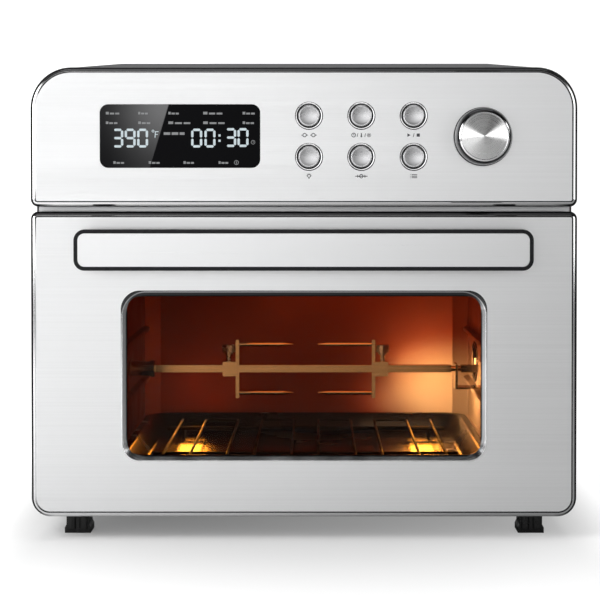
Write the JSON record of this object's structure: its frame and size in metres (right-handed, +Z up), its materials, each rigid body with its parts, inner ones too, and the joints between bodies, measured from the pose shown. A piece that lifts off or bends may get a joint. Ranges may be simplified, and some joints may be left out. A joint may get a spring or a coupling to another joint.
{
  "type": "toaster oven",
  "caption": "Countertop air fryer toaster oven with a drop-down glass door, rotisserie spit, top fan and digital control panel.",
  "frame": {"origin": "on the counter under the middle of the oven's bounding box", "axes": "+X to the right of someone facing the door, +Y to the back, +Z up"},
  "size_m": [0.4, 0.4, 0.3528],
  "materials": {
    "steel_skin": "brushed, satin",
    "door_steel": "brushed, satin",
    "case_paint": "satin",
    "zinc": "galvanised sheet, satin",
    "frame_steel": "satin",
    "liner": "satin",
    "black_plastic": "fine texture",
    "gloss_black": "gloss",
    "chrome": "polished",
    "satin_chrome": "spun, satin",
    "bezel_metal": "satin",
    "glass": "clear",
    "lamp_glass": "clear",
    "bulb": "warm lamp",
    "ceramic": "unglazed ceramic",
    "heater": "oxidised steel sheath",
    "quartz": "steel sheath, satin",
    "bright_wire": "plated wire",
    "spit_steel": "satin",
    "enamel": "black enamel, gloss",
    "pcb": "circuit board",
    "motor": "satin",
    "screw": "zinc plated",
    "rubber": "matt",
    "pan": "satin",
    "aluminium": "satin"
  },
  "bodies": {
    "root": {"outer_shell": "case_paint", "back_panel": "zinc", "base_plate": "zinc", "front_frame": "frame_steel", "feet": "rubber", "case_screws": "screw", "wall_spacers": "black_plastic", "cord_gland": "black_plastic", "cavity_left_wall": "liner", "cavity_right_wall": "liner", "cavity_back_wall": "liner", "cavity_floor": "liner", "cavity_ceiling": "liner", "fan_guard": "liner", "fan_housing": "zinc", "ring_heater": "heater", "rod_heaters": "quartz", "heater_bushings": "ceramic", "lamp_bulb": "bulb", "lamp_lens": "lamp_glass", "spit_bracket": "spit_steel", "rotisserie_motor": "motor", "fan_motor": "motor", "control_fascia": "steel_skin", "fascia_carrier": "black_plastic", "display_lens": "gloss_black", "control_board": "pcb", "power_board": "pcb", "encoder": "aluminium", "button_rings": "chrome", "hinge_brackets": "zinc", "door_springs": "screw"},
    "door": {"door_skin": "door_steel", "window_bezel": "bezel_metal", "glass_outer": "glass", "glass_inner": "glass", "door_inner_frame": "pan", "handle_frame": "black_plastic", "handle_plate": "steel_skin", "handle_screws": "screw", "door_arms": "zinc"},
    "knob": {"knob": "satin_chrome", "encoder_shaft": "aluminium"},
    "fan": {"fan_shaft": "screw", "fan_blade": "aluminium"},
    "spit": {"spit_rod": "spit_steel", "drive_socket": "spit_steel"},
    "fork_left": {"fork_left": "spit_steel"},
    "fork_right": {"fork_right": "spit_steel"},
    "fork_screw_left": {"fork_screw_left": "screw"},
    "fork_screw_right": {"fork_screw_right": "screw"},
    "tray": {"baking_tray": "enamel", "wire_rack": "bright_wire"},
    "crumb_tray": {"crumb_tray": "zinc"},
    "button_1": {"button_1": "satin_chrome"},
    "button_2": {"button_2": "satin_chrome"},
    "button_3": {"button_3": "satin_chrome"},
    "button_4": {"button_4": "satin_chrome"},
    "button_5": {"button_5": "satin_chrome"},
    "button_6": {"button_6": "satin_chrome"}
  },
  "joints": [
    {"name": "door_hinge", "type": "hinge", "parent": "root", "child": "door", "pos_m": [0, -0.153, 0.0235], "axis": [1, 0, 0], "range_deg": [0, 81], "stiffness_Nm_per_rad": 0.6, "springref_deg": -34.38, "deforming": ["door_springs"]},
    {"name": "knob_turn", "type": "hinge", "parent": "root", "child": "knob", "pos_m": [0.1306, -0.17, 0.2962], "axis": [0, -1, 0], "continuous": true},
    {"name": "button_1_press", "type": "slide", "parent": "root", "child": "button_1", "axis": [0, 1, 0], "range_m": [0, 0.0012], "stiffness_N_per_m": 400, "springref_m": -0.001},
    {"name": "button_2_press", "type": "slide", "parent": "root", "child": "button_2", "axis": [0, 1, 0], "range_m": [0, 0.0012], "stiffness_N_per_m": 400, "springref_m": -0.001},
    {"name": "button_3_press", "type": "slide", "parent": "root", "child": "button_3", "axis": [0, 1, 0], "range_m": [0, 0.0012], "stiffness_N_per_m": 400, "springref_m": -0.001},
    {"name": "button_4_press", "type": "slide", "parent": "root", "child": "button_4", "axis": [0, 1, 0], "range_m": [0, 0.0012], "stiffness_N_per_m": 400, "springref_m": -0.001},
    {"name": "button_5_press", "type": "slide", "parent": "root", "child": "button_5", "axis": [0, 1, 0], "range_m": [0, 0.0012], "stiffness_N_per_m": 400, "springref_m": -0.001},
    {"name": "button_6_press", "type": "slide", "parent": "root", "child": "button_6", "axis": [0, 1, 0], "range_m": [0, 0.0012], "stiffness_N_per_m": 400, "springref_m": -0.001},
    {"name": "spit_turn", "type": "hinge", "parent": "root", "child": "spit", "pos_m": [0, -0.0048, 0.11], "axis": [1, 0, 0], "continuous": true},
    {"name": "fork_left_slide", "type": "slide", "parent": "spit", "child": "fork_left", "axis": [-1, 0, 0], "range_m": [-0.006, 0.045]},
    {"name": "fork_right_slide", "type": "slide", "parent": "spit", "child": "fork_right", "axis": [1, 0, 0], "range_m": [-0.006, 0.045]},
    {"name": "fork_screw_left_turn", "type": "hinge", "parent": "fork_left", "child": "fork_screw_left", "pos_m": [-0.0635, -0.0048, 0.11], "axis": [0, 0, 1], "range_deg": [0, 270]},
    {"name": "fork_screw_right_turn", "type": "hinge", "parent": "fork_right", "child": "fork_screw_right", "pos_m": [0.0635, -0.0048, 0.11], "axis": [0, 0, 1], "range_deg": [0, 270]},
    {"name": "fan_spin", "type": "hinge", "parent": "root", "child": "fan", "pos_m": [0, -0.0048, 0.246], "axis": [0, 0, 1], "continuous": true},
    {"name": "tray_slide", "type": "slide", "parent": "root", "child": "tray", "axis": [0, -1, 0], "range_m": [0, 0.01]},
    {"name": "crumb_tray_slide", "type": "slide", "parent": "root", "child": "crumb_tray", "axis": [0, -1, 0], "range_m": [0, 0.008]}
  ]
}
